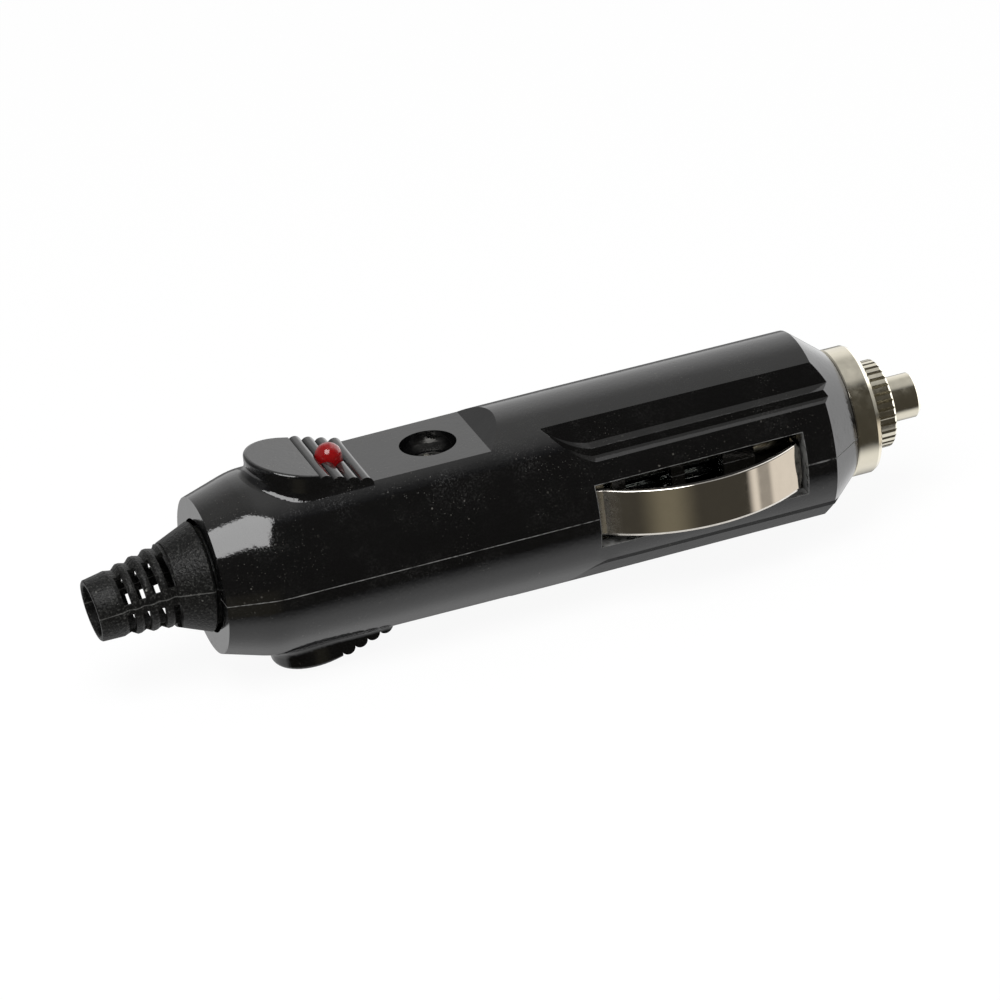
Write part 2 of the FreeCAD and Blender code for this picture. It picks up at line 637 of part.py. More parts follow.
    # lamp hole with a seat for the rim of the lamp
    if up > 0:
        lamp = new_sketch(body, "XZ_Plane", label + "_lamp_hole")
        add_upright_axis(lamp, s.lamp_x)
        axis = s.lamp_x
        bore = axis + s.lamp_radius + s.lamp_clearance
        seat = bore + s.lamp_flange_width
        step = s.lamp_foot + s.lamp_flange_height + s.bulkhead_gap
        low = s.lamp_foot - 1
        above = s.grip_plate_high + 1
        add_outline(
            lamp, [(axis, low), (seat, low), (seat, step), (bore, step), (bore, above), (axis, above)]
        )
        turned(body, "Groove", lamp, axis="Axis0")
    return body


def make_turned(label, corners, arcs=None):
    body = new_body(label)
    profile = new_sketch(body, "XZ_Plane", label + "_profile")
    add_outline(profile, corners, arcs)
    turned(body, "Revolution", profile)
    return body


def make_nose_cap():
    bore = s.pin_radius + s.running_clearance
    thread = s.spigot_radius + s.running_clearance
    edge = s.cap_edge
    shoulder = edge * 0.35
    body = make_turned(
        "nose_cap",
        [
            (s.cap_ring_start, thread),
            (s.cap_ring_start, s.nose_radius - 0.15),
            (s.cap_ring_start + 0.2, s.nose_radius),
            (s.cap_ring_end - edge, s.nose_radius),
            (s.cap_ring_end - shoulder, s.nose_radius - shoulder),
            (s.cap_ring_end, s.nose_radius - edge),
            (s.cap_ring_end, s.cap_collar_radius),
            (s.cap_collar_end - s.collar_edge, s.cap_collar_radius),
            (s.cap_collar_end, s.cap_collar_radius - s.collar_edge),
            (s.cap_collar_end, bore),
            (s.cap_floor, bore),
            (s.cap_floor, thread),
        ],
    )
    groove = new_sketch(body, "YZ_Plane", "knurl_groove", s.cap_ring_end)
    deep, half = s.cap_collar_radius - s.knurl_depth, 2 * s.cap_collar_radius / s.knurl_count
    high = s.cap_collar_radius + 0.1
    add_outline(groove, [(0, deep), (half, high), (-half, high)])
    cut = pushed(body, "Pocket", groove, s.cap_collar_end - s.cap_ring_end, reverse=True)
    ring = body.newObject("PartDesign::PolarPattern", "knurl")
    ring.Originals = [cut]
    ring.Axis = (groove, ["N_Axis"])
    ring.Angle = 360
    bind(ring, "Occurrences", s.knurl_count)
    body.Tip = ring
    doc.recompute()
    return body


def make_tip_pin():
    return make_turned(
        "tip_pin",
        [
            (s.fuse_end + 0.5, 0),
            (s.fuse_end, s.pin_body_radius / 3),
            (s.fuse_end, s.pin_body_radius),
            (s.spigot_end, s.pin_body_radius),
            (s.spigot_end, s.pin_radius),
            (s.pin_end - s.pin_edge, s.pin_radius),
            (s.pin_end, s.pin_radius - s.pin_edge),
            (s.pin_end, 0),
        ],
    )


def make_fuse():
    front, back = s.fuse_end, s.fuse_start
    wall, gap = s.fuse_cap_wall, s.fuse_glass_gap
    outer = s.fuse_cap_radius
    glass = outer - wall - gap
    for label, end, way in (("fuse_front_cap", front, -1), ("fuse_rear_cap", back, 1)):
        rim = end + way * s.fuse_cap_length
        floor = end + way * (2 * wall)
        make_turned(
            label, [(end, 0), (end, outer), (rim, outer), (rim, outer - wall), (floor, outer - wall), (floor, 0)]
        )
    a, b = back + 2 * wall + gap, front - 2 * wall - gap
    inner = glass - s.fuse_glass_wall
    make_turned("fuse_glass", [(a, inner), (a, glass), (b, glass), (b, inner)])
    a, b = back + 2 * wall, front - 2 * wall
    make_turned("fuse_wire", [(a, 0), (a, s.fuse_link_radius), (b, s.fuse_link_radius), (b, 0)])


def make_contact(label, side):
    """Bowed spring strip. side is 1 for the +Y side of the plug, -1 for the other."""
    body = new_body(label)
    t = s.contact_thickness
    big, small = s.contact_bow_radius, s.contact_bow_radius - t
    centre_x, centre_y = s.contact_bow_centre, s.contact_crest - s.contact_bow_radius
    tail, foot = s.contact_tail_depth, s.contact_foot_depth

    def bow(radius, x):
        return centre_y + root(radius * radius - (x - centre_x) * (x - centre_x))

    rear_x = s.window_start + 1.0
    front_x = s.contact_front - 0.9
    x0, x1 = s.contact_tail_start, s.contact_front
    corners = [
        (x0, foot),
        (x0, tail),
        (rear_x - 1.2, tail),
        (rear_x, bow(big, rear_x)),
        (front_x, bow(big, front_x)),
        (x1, bow(big, front_x) - 0.9),
        (x1, foot),
        (x1 - t, foot),
        (x1 - t, bow(small, front_x) - 0.8),
        (front_x - 0.15, bow(small, front_x - 0.15)),
        (rear_x + 0.1, bow(small, rear_x + 0.1)),
        (rear_x - 1.1, tail - t),
        (x0 + t, tail - t),
        (x0 + t, foot),
    ]
    strip = new_sketch(body, "XY_Plane", label + "_strip")
    add_outline(
        strip,
        [(x, side * size_of(y)) for x, y in corners],
        {3: (big, side), 9: (small, -side)},
    )
    pushed(body, "Pad", strip, s.contact_width, both_ways=True)
    corner = new_sketch(body, "XZ_Plane", label + "_corners")
    w, c = s.contact_width / 2, s.contact_corner
    for k, up in enumerate((1, -1)):
        add_outline(
            corner,
            [(x1 - c * 0.5, up * (w + 0.1)), (x1 + 0.1, up * (w + 0.1)), (x1 + 0.1, up * (w - c))],
            mark="t" if up > 0 else "u",
        )
    pushed(body, "Pocket", corner, both_ways=True)
    return body


def make_spring():
    """Coil spring between the terminal and the fuse, open at both ends, its wire in short
    straight pieces."""
    wire = s.spring_wire_radius.value
    gap = s.spring_end_gap.value
    start = s.terminal_front.value + wire + gap
    stop = s.fuse_start.value - wire - gap
    turns, radius = s.spring_turns.value, s.spring_radius.value
    pieces = int(round(turns * 12))
    path = []
    for k in range(pieces + 1):
        turn = 2 * math.pi * turns * k / pieces
        spot = V(start + (stop - start) * k / pieces, radius * math.cos(turn), radius * math.sin(turn))
        path.append(spot)
    spring = doc.addObject("Part::Feature", "tip_spring")
    spring.Shape = wire_solid(path, wire)
    spring.Label = "tip_spring"


def make_terminal():
    """Positive terminal: a plate under the spring, bent back into a solder tab on the +Y side."""
    body = new_body("spring_terminal")
    front, t = s.terminal_front, s.terminal_thickness
    w, reach = s.terminal_half_width, s.terminal_tab_reach
    edge = s.terminal_tab_outside
    plan = new_sketch(body, "XY_Plane", "terminal_plan")
    add_outline(
        plan,
        [
            (front, -w),
            (front, edge - t),
            (front - t, edge),
            (front - t - reach, edge),
            (front - t - reach, edge - t),
            (front - t, edge - t),
            (front - t, -w),
        ],
        {1: (t, 1)},
    )
    pushed(body, "Pad", plan, 2 * s.terminal_half_height, both_ways=True)
    trim = new_sketch(body, "XZ_Plane", "terminal_trim", -(w + 0.05))
    h, tall = s.terminal_tab_height / 2, s.terminal_half_height + 1
    middle = s.resistor_height
    for mark, near, far in (("t", middle + h, tall), ("u", middle - h, -tall)):
        x0, x1 = front - t - reach - 1, front + 1
        add_outline(trim, [(x0, near), (x1, near), (x1, far), (x0, far)], mark=mark)
    pushed(body, "Pocket", trim, 3, reverse=True)
    return body


def make_screw():
    body = new_body("case_screw")
    profile = new_sketch(body, "XZ_Plane", "screw_profile")
    add_upright_axis(profile, s.screw_x)
    x, seat = s.screw_x, s.screw_seat
    top, tip = seat + s.screw_head_height, s.screw_tip
    rim = s.screw_head_height * 0.55
    r, shank = s.screw_head_radius, s.screw_shank_radius
    dome = s.screw_head_height - rim
    add_outline(
        profile,
        [
            (x, tip),
            (x + shank * 0.3, tip),
            (x + shank, tip + 1.5),
            (x + shank, seat),
            (x + r, seat),
            (x + r, seat + rim),
            (x + r * 0.72, seat + rim + dome * 0.75),
            (x + r * 0.35, top),
            (x, top),
        ],
    )
    turned(body, "Revolution", profile, axis="Axis0")
    slot = new_sketch(body, "XY_Plane", "screw_slot", top - s.screw_slot_depth)
    w, h = s.screw_slot_width / 2, s.screw_slot_length / 2
    add_outline(
        slot,
        [
            (x - h, -w), (x - w, -w), (x - w, -h), (x + w, -h), (x + w, -w), (x + h, -w),
            (x + h, w), (x + w, w), (x + w, h), (x - w, h), (x - w, w), (x - h, w),
        ],
    )
    pushed(body, "Pocket", slot, s.screw_slot_depth + 0.1, reverse=True)
    return body


def make_lamp():
    body = new_body("indicator_lamp")
    profile = new_sketch(body, "XZ_Plane", "lamp_profile")
    add_upright_axis(profile, s.lamp_x)
    x, foot, r = s.lamp_x, s.lamp_foot, s.lamp_radius
    rim = x + s.lamp_radius + s.lamp_flange_width
    step = foot + s.lamp_flange_height
    top = foot + s.lamp_height
    add_outline(
        profile,
        [(x, foot), (rim, foot), (rim, step), (x + r, step), (x + r, top - r), (x, top)],
        {4: (r, -1)},
    )
    turned(body, "Revolution", profile, axis="Axis0")
    return body


def make_leads():
    """Lamp leads, the resistor with its leads and the wire between the side contacts."""
    def at(x, y, z):
        return V(size_of(x).value, size_of(y).value, size_of(z).value)

    def solid(label, shape):
        item = doc.addObject("Part::Feature", label)
        item.Shape = shape
        item.Label = label

    r = s.lead_radius.value
    anode = s.lamp_x + s.lead_pitch / 2
    cathode = s.lamp_x - s.lead_pitch / 2
    tab = s.terminal_tab_outside - s.terminal_thickness / 2
    low = s.resistor_height
    bend = s.lamp_foot - s.lead_drop
    side = s.lead_side_gap - s.cavity_radius
    solid("lamp_anode_lead", wire_solid([at(anode, 0, s.lamp_foot), at(anode, 0, bend - 0.4)], r))
    ring_x = s.contact_tail_start - s.link_gap - s.link_radius
    ring_r = s.barrel_cavity_radius - s.link_radius - 0.3
    solid(
        "lamp_cathode_lead",
        wire_solid(
            [
                at(cathode, 0, s.lamp_foot),
                at(cathode, 0, bend),
                at(cathode, side, 0.6),
                at(s.barrel_cavity_start - 0.4, side, 0.6),
                at(ring_x - s.link_radius - 0.25, 0.2 - ring_r, -1.4),
            ],
            r,
        ),
    )
    front = s.terminal_tab_end - s.resistor_lead_length
    back = front - s.resistor_length
    resistor = doc.addObject("Part::Cylinder", "resistor")
    resistor.Label = "resistor"
    bind(resistor, "Radius", s.resistor_radius)
    bind(resistor, "Height", s.resistor_length)
    resistor.Placement = FreeCAD.Placement(
        at(back, tab, low), FreeCAD.Rotation(V(0, 1, 0), 90)
    )
    r = s.resistor_lead_radius.value
    solid(
        "resistor_front_lead",
        wire_solid([at(front, tab, low), at(s.terminal_tab_end, tab, low)], r),
    )
    solid(
        "resistor_rear_lead",
        wire_solid([at(back, tab, low), at(anode, tab, low), at(anode, 0.75, bend - 0.1)], r),
    )
    # the wire between the contacts runs round the lower half of the cavity
    bends = 10
    path = []
    for k in range(bends + 1):
        turn = math.pi * k / bends
        path.append(V(ring_x.value, -ring_r.value * math.cos(turn), -ring_r.value * math.sin(turn)))
    solid("contact_link_wire", wire_solid(path, s.link_radius.value))


def make_boot():
    """Cable boot: a flange in the shells and a tapered collar, then slotted rings and a cuff that
    hang down from the end of the collar."""
    body = new_body("cable_boot")
    slots = int(s.boot_slot_count.value)
    front = s.boot_flange_middle + s.boot_flange_length / 2
    back = s.boot_flange_middle - s.boot_flange_length / 2
    bore, entry = s.boot_bore_radius, s.cord_bore_radius
    collar = new_sketch(body, "XZ_Plane", "boot_collar")
    add_outline(
        collar,
        [
            (front, bore),
            (front, s.boot_flange_radius),
            (back, s.boot_flange_radius),
            (back, s.boot_neck_radius),
            (s.boot_collar_start + 0.3, s.boot_neck_radius),
            (s.boot_collar_start, s.boot_collar_radius - 0.1),
            (s.boot_collar_start - 0.2, s.boot_collar_radius),
            (s.boot_rings_start, s.boot_rings_radius),
            (s.boot_rings_start, bore),
        ],
    )
    turned(body, "Revolution", collar)

    # rings and cuff, measured from the point where they bend down
    rings = new_sketch(body, "XZ_Plane", "boot_rings")
    turn_down(rings, s.boot_rings_start, s.boot_bend)
    rings_end = s.boot_slot_width / 2 - s.boot_slot_pitch * s.boot_slot_count
    end = rings_end - s.boot_cuff_length
    step = (s.boot_rings_radius - s.boot_cuff_radius) / s.boot_slot_count
    wide = bore + 0.2
    corners = [(0.6, wide), (0.6, s.boot_rings_radius - 0.25), (0, s.boot_rings_radius - 0.1)]
    for k in range(slots - 1):
        middle = -s.boot_slot_width / 2 - s.boot_slot_pitch * (k + 0.5)
        crest = s.boot_rings_radius - step * (k + 1)
        corners.append((middle + s.boot_slot_pitch * 0.5, crest - s.boot_ring_crown))
        corners.append((middle + s.boot_slot_pitch * 0.1, crest))
        corners.append((middle - s.boot_slot_pitch * 0.1, crest))
    last = -s.boot_slot_width / 2 - s.boot_slot_pitch * (slots - 1)
    lip = s.boot_end_wall / 4
    corners += [
        (last, s.boot_cuff_radius - s.boot_ring_crown),
        (rings_end, s.boot_cuff_radius),
        (end + lip, s.boot_end_radius),
        (end, s.boot_end_radius - lip),
        (end, entry + lip),
        (end + lip, entry),
        (rings_end - 0.3, entry),
        (rings_end + 0.2, s.boot_cuff_radius - s.boot_end_wall),
        (0, wide),
    ]
    add_outline(rings, corners)
    turned(body, "Revolution", rings)
    far = s.boot_collar_radius + 1
    for side, mark in ((1, "left"), (-1, "right")):
        cut = new_sketch(body, "XZ_Plane", "boot_slots_" + mark, -side * s.boot_web_half_width)
        turn_down(cut, s.boot_rings_start, s.boot_bend)
        for k in range(slots):
            low = s.boot_rib_half_height - s.boot_rib_taper * k
            x1 = -s.boot_slot_pitch * k
            x0 = x1 - s.boot_slot_width
            for up, row in ((1, "t"), (-1, "u")):
                add_outline(
                    cut,
                    [(x0, up * low), (x1, up * low), (x1, up * far), (x0, up * far)],
                    mark="%s%d_" % (row, k),
                )
        pushed(body, "Pocket", cut, reverse=side < 0)
    turn = FreeCAD.Rotation(V(1, 0, 0), -s.boot_twist.value)
    body.Placement = FreeCAD.Placement(V(0, 0, 0), turn)
    return body


make_shell("upper_shell", 1)
make_shell("lower_shell", -1)
make_nose_cap()
make_tip_pin()
make_fuse()
make_spring()
make_terminal()
make_contact("left_contact", 1)
make_contact("right_contact", -1)
make_screw()
make_lamp()
make_leads()
make_boot()
doc.recompute()

NODES = [
    "upper_shell", "lower_shell", "nose_cap", "tip_pin", "fuse_front_cap", "fuse_rear_cap",
    "fuse_glass", "fuse_wire", "tip_spring", "spring_terminal", "left_contact", "right_contact",
    "case_screw", "indicator_lamp", "lamp_anode_lead", "lamp_cathode_lead", "resistor",
    "resistor_front_lead", "resistor_rear_lead", "contact_link_wire", "cable_boot",
]

for item in doc.Objects:
    if "Invalid" in item.State or "Error" in item.State:
        raise ValueError("%s did not compute: %s" % (item.Label, item.State))
os.makedirs("parts", exist_ok=True)
for label in NODES:
    found = doc.getObjectsByLabel(label)
    if len(found) != 1:
        raise ValueError("%s is not one object" % label)
    shape = found[0].Shape
    if shape.isNull() or not shape.isValid() or len(shape.Solids) != 1:
        raise ValueError("%s is not one valid solid" % label)
    shape.exportStep("parts/%s.step" % label)
    print("%-22s %10.3f mm3" % (label, shape.Volume))
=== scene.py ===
"""Looks of the fused 12 V cigarette lighter plug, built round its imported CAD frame.

Metres, X along the plug with its tip at +X, Z up. The photograph looks at the -Y side from
above left, so the near side contact is the one called right_contact.
"""
import math

import bpy
from mathutils import Matrix, Vector


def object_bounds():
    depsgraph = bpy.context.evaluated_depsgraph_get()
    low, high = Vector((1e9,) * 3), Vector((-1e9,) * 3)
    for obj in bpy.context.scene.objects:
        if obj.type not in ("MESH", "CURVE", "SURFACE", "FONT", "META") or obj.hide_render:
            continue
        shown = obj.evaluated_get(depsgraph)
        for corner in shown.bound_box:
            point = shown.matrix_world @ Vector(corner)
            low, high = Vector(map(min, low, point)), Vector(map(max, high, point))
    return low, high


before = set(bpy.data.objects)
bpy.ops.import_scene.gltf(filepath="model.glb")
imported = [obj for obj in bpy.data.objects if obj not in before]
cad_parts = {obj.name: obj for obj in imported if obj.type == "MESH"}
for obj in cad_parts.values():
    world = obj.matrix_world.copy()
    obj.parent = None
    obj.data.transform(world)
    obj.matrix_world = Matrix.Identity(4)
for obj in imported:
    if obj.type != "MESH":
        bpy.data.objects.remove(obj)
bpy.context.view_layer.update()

# Places on the part that a finish follows

WINDOW_START, WINDOW_END = 0.0075, 0.03145
WINDOW_HALF_HEIGHT = 0.0037
WINDOW_INNER_SIDE = 0.008  # flash shows only this far out from the axis or farther
STRIP_HALF_WIDTH = 0.0027
STRIP_TAIL = 0.0085
BOOT_TWIST = math.radians(7.3)  # the boot sits turned about the plug's axis
BOOT_BEND_X = -0.0381  # and its rings bend down behind this place
BOOT_SLOPE = math.tan(math.radians(5.3))

# Colours, linear

MOULDING_BLACK = (0.0028, 0.0028, 0.003, 1)
HAZE_GREY = (0.7, 0.69, 0.66, 1)
DUST_CREAM = (0.7, 0.66, 0.56, 1)
FLASH_GREY = (0.7, 0.7, 0.68, 1)
RUBBER_DARK = (0.004, 0.004, 0.0038, 1)
RUBBER_PALE = (0.03, 0.03, 0.028, 1)
RUBBER_DUST = (0.5, 0.5, 0.46, 1)
RUBBER_SEAM = (0.5, 0.5, 0.48, 1)
RED_EPOXY = (0.42, 0.008, 0.01, 1)
TUBE_GLASS = (0.9, 0.93, 0.9, 1)
FLOOR_PAINT = (0.9, 0.9, 0.9, 1)
WHITE = (1, 1, 1, 1)
FILL_GREY = (0.42, 0.42, 0.42, 1)
ROOM_BROWN = (0.06, 0.055, 0.045, 1)
WALL_OLIVE = (0.2, 0.18, 0.13, 1)
PANEL_CREAM = (0.92, 0.85, 0.76, 1)


# Shader helpers

def add_node(tree, kind, **values):
    """A node with its sockets set by name, or by index as in _0. A value that is an output
    socket is linked, and a name that is no socket is a property of the node."""
    node = tree.nodes.new(kind)
    for name, value in values.items():
        if hasattr(node, name) and name not in node.inputs:
            setattr(node, name, value)
            continue
        socket = node.inputs[name] if name in node.inputs else node.inputs[int(name[1:])]
        set_socket(tree, socket, value)
    return node


def set_socket(tree, socket, value):
    """Links an output socket to the given one, or writes a plain value into it."""
    if isinstance(value, bpy.types.NodeSocket):
        tree.links.new(value, socket)
    else:
        socket.default_value = value


def maths(tree, operation, *values):
    node = add_node(tree, "ShaderNodeMath", operation=operation)
    for socket, value in zip(node.inputs, values):
        set_socket(tree, socket, value)
    return node.outputs[0]


def product(tree, *values):
    result = values[0]
    for value in values[1:]:
        result = maths(tree, "MULTIPLY", result, value)
    return result


def ramp(tree, value, low, high, to_low=0.0, to_high=1.0, smooth=True):
    """value from low..high to to_low..to_high, held at the ends."""
    node = add_node(tree, "ShaderNodeMapRange", Value=value)
    node.interpolation_type = "SMOOTHSTEP" if smooth else "LINEAR"
    for name, x in (("From Min", low), ("From Max", high), ("To Min", to_low), ("To Max", to_high)):
        node.inputs[name].default_value = x
    return node.outputs["Result"]


def mix_colour(tree, share, a, b, blend_type="MIX"):
    """Colour a going over to colour b with share."""
    node = add_node(tree, "ShaderNodeMix", data_type="RGBA", blend_type=blend_type)
    for index, value in ((0, share), (6, a), (7, b)):
        set_socket(tree, node.inputs[index], value)
    return node.outputs[2]


def mix_shaders(tree, share, a, b):
    """Shader a going over to shader b with share."""
    return add_node(tree, "ShaderNodeMixShader", _0=share, _1=a, _2=b).outputs[0]


def noise(tree, where, scale, detail=2.0, roughness=0.5):
    node = add_node(
        tree, "ShaderNodeTexNoise", Vector=where, Scale=scale, Detail=detail, Roughness=roughness
    )
    return node.outputs["Fac"]


def parts_of(tree, vector):
    """The x, y and z of a vector."""
    return add_node(tree, "ShaderNodeSeparateXYZ", Vector=vector).outputs


def new_group(name, inputs, outputs):
    """A shader node group with float or vector sockets: inputs are (name, default)."""
    group = bpy.data.node_groups.new(name, "ShaderNodeTree")
    for label, default in inputs:
        kind = "NodeSocketVector" if isinstance(default, tuple) else "NodeSocketFloat"
        socket = group.interface.new_socket(label, in_out="INPUT", socket_type=kind)
        socket.default_value = default
    for label in outputs:
        kind = "NodeSocketVector" if label == "Normal" else "NodeSocketFloat"
        group.interface.new_socket(label, in_out="OUTPUT", socket_type=kind)
    start = group.nodes.new("NodeGroupInput")
    end = group.nodes.new("NodeGroupOutput")
    return group, start.outputs, end.inputs


def use_group(tree, group, values):
    """The outputs of a group in this tree, its inputs set from values by name."""
    node = tree.nodes.new("ShaderNodeGroup")
    node.node_tree = group
    for name, value in values.items():
        set_socket(tree, node.inputs[name], value)
    return node.outputs


def new_material(name):
    """A material with its tree, its shader and the place on the piece."""
    material = bpy.data.materials.new(name)
    material.use_nodes = True
    tree = material.node_tree
    where = add_node(tree, "ShaderNodeTexCoord").outputs["Object"]
    return material, tree, tree.nodes["Principled BSDF"], where


# Node groups that several finishes share

ANY_PLACE = ("Vector", (0.0, 0.0, 0.0))
ANY_FACING = ("Facing", (0.0, 0.0, 1.0))


def speck_layer(group, where, scale, amount, share):
    """Specks in some cells of a Voronoi pattern, each with its own width and strength."""
    cells = add_node(group, "ShaderNodeTexVoronoi", Vector=where, Scale=scale, Randomness=1.0)
    dice = add_node(group, "ShaderNodeSeparateColor", _0=cells.outputs["Color"]).outputs
    width = maths(group, "MULTIPLY_ADD", dice[1], 0.3, 0.1)
    spot = ramp(group, maths(group, "SUBTRACT", width, cells.outputs["Distance"]), 0.0, 0.15)
    limit = maths(group, "MULTIPLY_ADD", amount, -share, 1.0)
    chosen = maths(group, "GREATER_THAN", dice[0], limit)
    strength = maths(group, "MULTIPLY_ADD", dice[2], 0.8, 0.2)
    return product(group, spot, chosen, strength)


def dust_group():
    """Pale specks of two sizes and a thin uneven film."""
    group, given, out = new_group(
        "settled_dust", [ANY_PLACE, ("Speck amount", 0.1), ("Film amount", 0.1)], ["Specks", "Film"]
    )
    where, amount = given["Vector"], given["Speck amount"]
    few_large = speck_layer(group, where, 2200.0, amount, 0.3)
    many_small = speck_layer(group, where, 6500.0, amount, 1.0)
    specks = maths(group, "MAXIMUM", few_large, many_small)
    patches = ramp(group, noise(group, where, 160.0, 3.0), 0.38, 0.66)
    group.links.new(maths(group, "MULTIPLY", specks, patches), out["Specks"])
    broad = ramp(group, noise(group, where, 230.0, 4.0, 0.65), 0.42, 0.75)
    fine = ramp(group, noise(group, where, 5200.0, 2.0), 0.45, 0.7)
    group.links.new(product(group, broad, fine, given["Film amount"]), out["Film"])
    return group


def orange_peel_group():
    """Height of a moulded gloss surface: low waves with a finer pebble on them."""
    group, given, out = new_group(
        "moulded_gloss", [ANY_PLACE, ("Waves", 1.0), ("Pebble", 1.0)], ["Height"]
    )
    waves = maths(group, "MULTIPLY", noise(group, given["Vector"], 420.0), given["Waves"])
    pebble = maths(group, "MULTIPLY", noise(group, given["Vector"], 2400.0), given["Pebble"])
    group.links.new(maths(group, "ADD", waves, pebble), out["Height"])
    return group


def window_flash(group, x, y, height, wobble, strength):
    """Thin flash along the edges of the side windows, on the outside of the shells only."""
    middle = (WINDOW_START + WINDOW_END) / 2
    half_length = (WINDOW_END - WINDOW_START) / 2
    off_middle = maths(group, "ABSOLUTE", maths(group, "SUBTRACT", x, middle))
    along = maths(group, "SUBTRACT", off_middle, half_length)
    across = maths(group, "SUBTRACT", height, WINDOW_HALF_HEIGHT)
    to_edge = maths(group, "ADD", maths(group, "MAXIMUM", along, across), wobble)
    rim = ramp(group, maths(group, "ABSOLUTE", to_edge), 0.00002, 0.00008, 1.0, 0.0)
    side = maths(group, "ABSOLUTE", y)
    outside = ramp(group, side, WINDOW_INNER_SIDE - 0.0002, WINDOW_INNER_SIDE + 0.0002)
    return product(group, rim, outside, ramp(group, strength, 0.0, 1.0, 0.3, 1.0))


def moulding_marks_group():
    """Marks of the mould on the shells: the flash that stands along the parting line and round
    the side windows, the open gap of that line at the nose, and how far a face looks up."""
    group, given, out = new_group(
        "moulding_marks", [ANY_PLACE, ANY_FACING], ["Flash", "Gap", "Upward"]
    )
    where = given["Vector"]
    x, y, z = parts_of(group, where)
    height = maths(group, "ABSOLUTE", z)
    wobble = maths(group, "MULTIPLY_ADD", noise(group, where, 2600.0, 3.0), 0.00006, -0.00003)
    off_line = maths(group, "ADD", height, wobble)
    line = ramp(group, off_line, 0.00003, 0.00007, 1.0, 0.0)
    at_nose = ramp(group, x, WINDOW_END, WINDOW_END + 0.0003)
    group.links.new(maths(group, "MULTIPLY", line, at_nose), out["Gap"])

    strength = ramp(group, noise(group, where, 900.0, 4.0, 0.7), 0.3, 0.62)
    beside = ramp(group, off_line, 0.00006, 0.00012, 1.0, 0.0)
    seam = maths(group, "MAXIMUM", line, maths(group, "MULTIPLY", beside, at_nose))
    seam = product(group, seam, strength, ramp(group, at_nose, 0.0, 1.0, 1.0, 0.8))
    rim = window_flash(group, x, y, height, wobble, strength)
    group.links.new(maths(group, "MAXIMUM", seam, rim), out["Flash"])

    looks_up = parts_of(group, given["Facing"])[2]
    group.links.new(ramp(group, looks_up, 0.74, 0.9), out["Upward"])
    return group


def rolled_edges_group():
    """The normal of the contact strip, leant over near its upper and lower edge, where the
    shears have rolled it."""
    group, given, out = new_group("rolled_edges", [ANY_PLACE, ANY_FACING], ["Normal"])
    z = parts_of(group, given["Vector"])[2]
    rolled = STRIP_HALF_WIDTH - 0.00022
    height = maths(group, "ABSOLUTE", z)
    lean = ramp(group, height, rolled, STRIP_HALF_WIDTH, 0.0, 2.2, smooth=False)
    lean = maths(group, "MULTIPLY", lean, maths(group, "SIGN", z))
    tilt = add_node(group, "ShaderNodeCombineXYZ", Z=lean).outputs[0]
    leant = add_node(group, "ShaderNodeVectorMath", operation="ADD", _0=given["Facing"], _1=tilt)
    unit = add_node(group, "ShaderNodeVectorMath", operation="NORMALIZE", _0=leant.outputs[0])
    turned = add_node(group, "ShaderNodeVectorTransform", Vector=unit.outputs[0])
    turned.vector_type, turned.convert_from, turned.convert_to = "NORMAL", "OBJECT", "WORLD"
    group.links.new(turned.outputs[0], out["Normal"])
    return group


DUST = dust_group()
PEEL = orange_peel_group()
MARKS = moulding_marks_group()
ROLLED_EDGES = rolled_edges_group()


# Finishes

def gloss_black_plastic():
    """Gloss black moulding with an orange peel, settled dust and rough flash at the seam."""
    material, tree, shader, where = new_material("gloss_black_moulding")
    facing = add_node(tree, "ShaderNodeTexCoord").outputs["Normal"]
    dust = use_group(tree, DUST, {"Vector": where, "Speck amount": 0.24, "Film amount": 0.8})
    peel = use_group(tree, PEEL, {"Vector": where, "Waves": 0.8, "Pebble": 0.7})
    marks = use_group(tree, MARKS, {"Vector": where, "Facing": facing})
    bump = add_node(tree, "ShaderNodeBump", Strength=1.0, Distance=0.000016, Height=peel["Height"])
    tree.links.new(bump.outputs["Normal"], shader.inputs["Normal"])

    lies_on_top = maths(tree, "MULTIPLY", marks["Upward"], 0.02)
    haze = maths(tree, "MULTIPLY_ADD", dust["Film"], 0.02, lies_on_top)
    colour = mix_colour(tree, haze, MOULDING_BLACK, HAZE_GREY)
    colour = mix_colour(tree, maths(tree, "MULTIPLY", dust["Specks"], 0.09), colour, DUST_CREAM)
    colour = mix_colour(tree, maths(tree, "MULTIPLY", marks["Flash"], 0.2), colour, FLASH_GREY)
    tree.links.new(colour, shader.inputs["Base Color"])

    rough = maths(tree, "MULTIPLY_ADD", dust["Film"], 0.2, 0.075)
    matt = maths(tree, "MAXIMUM", dust["Specks"], marks["Flash"])
    rough = maths(tree, "MULTIPLY_ADD", matt, 0.5, rough)
    tree.links.new(maths(tree, "MINIMUM", rough, 1.0), shader.inputs["Roughness"])
    shine = ramp(tree, marks["Gap"], 0.0, 1.0, 0.5, 0.02)
    tree.links.new(shine, shader.inputs["Specular IOR Level"])
    return material


def off_boot_seam(tree, where):
    """Distance from the seam of the cable boot, which turns and bends with the boot."""
    x, y, z = parts_of(tree, where)
    side = maths(tree, "MULTIPLY", y, math.sin(BOOT_TWIST))
    level = maths(tree, "MULTIPLY_ADD", z, math.cos(BOOT_TWIST), side)
    behind = maths(tree, "MAXIMUM", maths(tree, "SUBTRACT", BOOT_BEND_X, x), 0.0)
    drop = maths(tree, "MULTIPLY", behind, BOOT_SLOPE)
    return maths(tree, "ABSOLUTE", maths(tree, "ADD", level, drop))


